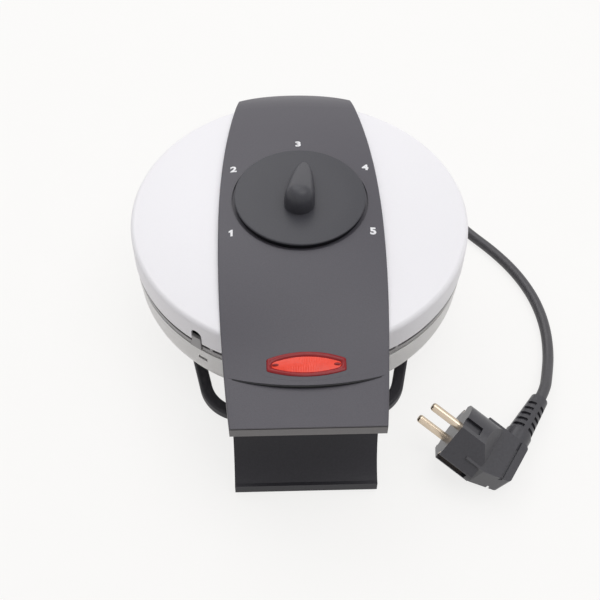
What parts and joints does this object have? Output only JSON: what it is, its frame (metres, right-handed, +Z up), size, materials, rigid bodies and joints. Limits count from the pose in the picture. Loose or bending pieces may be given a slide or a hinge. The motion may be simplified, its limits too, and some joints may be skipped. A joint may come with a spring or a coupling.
{
  "type": "heart waffle maker",
  "caption": "Round waffle maker with a hinged lid, heart-shaped waffle plates, a browning dial, an indicator lamp, a bow for winding the cord and a cord with an angled plug.",
  "frame": {"origin": "on the table, under the middle of the appliance without its cord", "axes": "+Z up, +Y towards the hinge at the rear, -Y towards the handles at the front, +X to the right"},
  "size_m": [0.2596, 0.3314, 0.1064],
  "materials": {
    "bowl_silver": "silver lacquer",
    "lid_silver": "silver lacquer",
    "trim_black": "matt",
    "plate_coating": "non-stick coating on cast aluminium",
    "heater_steel": "oxidised sheath",
    "reflector_sheet": "bright sheet",
    "screw_steel": "zinc plated",
    "handle_black": "fine texture",
    "foot_rubber": "matt",
    "bracket_steel": "zinc plated",
    "pin_steel": "bright",
    "pin_nickel": "nickel plated",
    "ceramic_white": "glazed",
    "wire_insulation": "glass-braid sleeve",
    "cord_black": "satin",
    "plug_black": "satin",
    "band_anthracite": "satin lacquer",
    "cover_grey": "satin",
    "dial_anthracite": "satin lacquer",
    "lens_red": "clear red",
    "lamp_glass": "glow lamp"
  },
  "bodies": {
    "base": {"lower_shell": "bowl_silver", "lower_ring": "trim_black", "lower_plate": "plate_coating", "lower_plate_studs": "plate_coating", "lower_heater": "heater_steel", "lower_reflector": "reflector_sheet", "lower_plate_screws": "screw_steel", "lower_handle": "handle_black", "lower_handle_screws": "screw_steel", "cord_bow": "handle_black", "bow_screws": "screw_steel", "rear_foot": "handle_black", "rear_foot_screws": "screw_steel", "rubber_feet": "foot_rubber", "hinge_base_bracket": "bracket_steel", "hinge_pin": "pin_steel", "hinge_clips": "pin_steel", "base_bracket_screws": "screw_steel", "terminal_block": "ceramic_white", "cord_clamp": "trim_black", "base_wiring": "wire_insulation", "thermal_cutout": "reflector_sheet", "cord_gland": "cord_black", "cord_lead": "cord_black", "cord_coil": "cord_black", "cord_tail": "cord_black", "plug_body": "plug_black", "plug_pins": "pin_nickel", "plug_earth_clips": "pin_nickel", "plug_boot": "plug_black"},
    "lid": {"lid_shell": "lid_silver", "band": "band_anthracite", "handle_cover": "cover_grey", "handle_cover_screws": "screw_steel", "band_screws": "screw_steel", "upper_plate": "plate_coating", "upper_plate_studs": "plate_coating", "upper_heater": "heater_steel", "upper_reflector": "reflector_sheet", "upper_plate_screws": "screw_steel", "hinge_lid_bracket": "bracket_steel", "lid_bracket_screws": "screw_steel", "thermostat": "reflector_sheet", "thermostat_strap": "bracket_steel", "lamp_lens": "lens_red", "lamp_holder": "trim_black", "lamp": "lamp_glass", "lid_wiring": "wire_insulation"},
    "dial": {"dial_knob": "dial_anthracite", "thermostat_spindle": "pin_steel", "dial_clip": "pin_steel"}
  },
  "joints": [
    {"name": "lid_hinge", "type": "hinge", "parent": "base", "child": "lid", "pos_m": [0, 0.1215, 0.06], "axis": [-1, 0, 0], "range_deg": [0, 100]},
    {"name": "dial_turn", "type": "hinge", "parent": "lid", "child": "dial", "pos_m": [0, 0.0155, 0.0935], "axis": [0, 0, 1], "range_deg": [-116, 124]}
  ]
}
